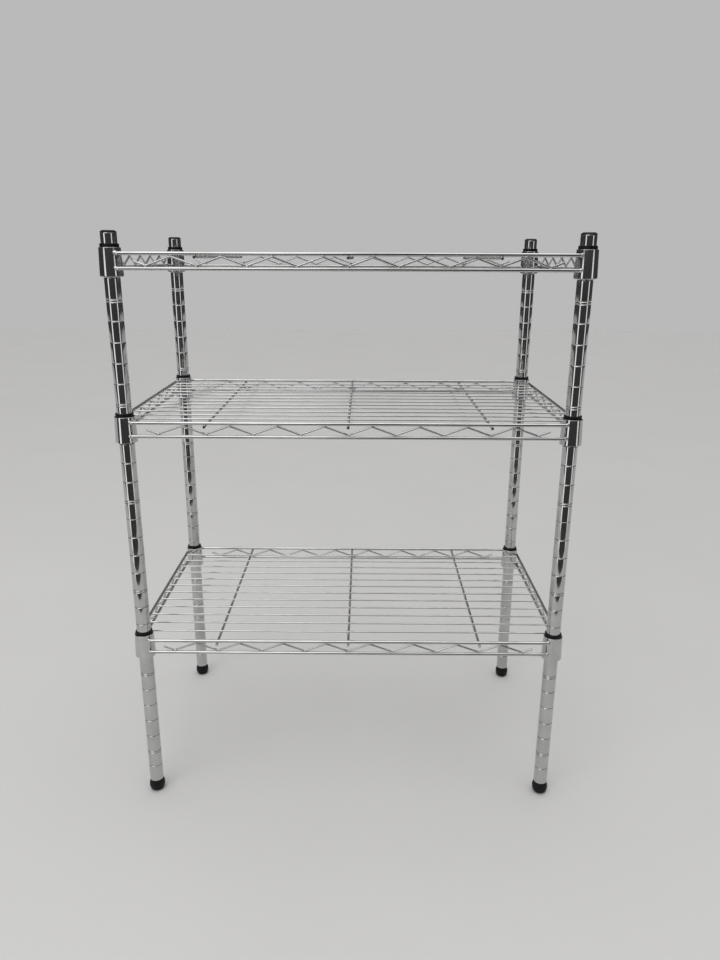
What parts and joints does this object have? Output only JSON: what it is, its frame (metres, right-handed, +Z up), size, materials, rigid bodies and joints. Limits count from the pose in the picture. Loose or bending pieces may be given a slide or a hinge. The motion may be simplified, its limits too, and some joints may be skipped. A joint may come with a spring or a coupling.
{
  "type": "tiered wire shelving unit",
  "caption": "Free-standing chrome wire shelving with ringed posts, tapered collars on split sleeves, trussed shelf edges and black levelling feet.",
  "frame": {"origin": "on the floor under the feet, midway between the four posts", "axes": "+X to the right along the long side, +Y from front to rear, +Z up"},
  "size_m": [0.5926, 0.3434, 0.783],
  "materials": {
    "chrome": "bright polished plating",
    "black_plastic": "satin black moulding",
    "plain_steel": "bright zinc"
  },
  "bodies": {
    "frame": {"bottom_sleeves": "black_plastic", "cap_front_left": "black_plastic", "cap_front_right": "black_plastic", "cap_rear_left": "black_plastic", "cap_rear_right": "black_plastic", "foot_inserts": "plain_steel", "middle_sleeves": "black_plastic", "post_joint_nuts": "plain_steel", "post_joint_studs": "plain_steel", "post_lower_front_left": "chrome", "post_lower_front_right": "chrome", "post_lower_rear_left": "chrome", "post_lower_rear_right": "chrome", "post_upper_front_left": "chrome", "post_upper_front_right": "chrome", "post_upper_rear_left": "chrome", "post_upper_rear_right": "chrome", "top_sleeves": "black_plastic"},
    "shelf_bottom": {"bottom_collars": "chrome", "bottom_cross_wires": "chrome", "bottom_deck_wires": "chrome", "bottom_front_rails": "chrome", "bottom_front_zigzag": "chrome", "bottom_left_rails": "chrome", "bottom_left_zigzag": "chrome", "bottom_rear_rails": "chrome", "bottom_rear_zigzag": "chrome", "bottom_right_rails": "chrome", "bottom_right_zigzag": "chrome"},
    "shelf_middle": {"middle_collars": "chrome", "middle_cross_wires": "chrome", "middle_deck_wires": "chrome", "middle_front_rails": "chrome", "middle_front_zigzag": "chrome", "middle_left_rails": "chrome", "middle_left_zigzag": "chrome", "middle_rear_rails": "chrome", "middle_rear_zigzag": "chrome", "middle_right_rails": "chrome", "middle_right_zigzag": "chrome"},
    "shelf_top": {"top_collars": "chrome", "top_cross_wires": "chrome", "top_deck_wires": "chrome", "top_front_rails": "chrome", "top_front_zigzag": "chrome", "top_left_rails": "chrome", "top_left_zigzag": "chrome", "top_rear_rails": "chrome", "top_rear_zigzag": "chrome", "top_right_rails": "chrome", "top_right_zigzag": "chrome"},
    "foot_front_left": {"foot_knob_front_left": "black_plastic", "foot_stud_front_left": "plain_steel"},
    "foot_front_right": {"foot_knob_front_right": "black_plastic", "foot_stud_front_right": "plain_steel"},
    "foot_rear_left": {"foot_knob_rear_left": "black_plastic", "foot_stud_rear_left": "plain_steel"},
    "foot_rear_right": {"foot_knob_rear_right": "black_plastic", "foot_stud_rear_right": "plain_steel"}
  },
  "joints": [
    {"name": "lift_bottom_shelf", "type": "slide", "parent": "frame", "child": "shelf_bottom", "axis": [0, 0, 1], "range_m": [0, 0.268]},
    {"name": "lift_middle_shelf", "type": "slide", "parent": "frame", "child": "shelf_middle", "axis": [0, 0, 1], "range_m": [0, 0.166]},
    {"name": "lift_top_shelf", "type": "slide", "parent": "frame", "child": "shelf_top", "axis": [0, 0, 1], "range_m": [0, 0.056]},
    {"name": "level_foot_front_left", "type": "slide", "parent": "frame", "child": "foot_front_left", "axis": [0, 0, -1], "range_m": [0, 0.01]},
    {"name": "level_foot_front_right", "type": "slide", "parent": "frame", "child": "foot_front_right", "axis": [0, 0, -1], "range_m": [0, 0.01]},
    {"name": "level_foot_rear_left", "type": "slide", "parent": "frame", "child": "foot_rear_left", "axis": [0, 0, -1], "range_m": [0, 0.01]},
    {"name": "level_foot_rear_right", "type": "slide", "parent": "frame", "child": "foot_rear_right", "axis": [0, 0, -1], "range_m": [0, 0.01]}
  ]
}
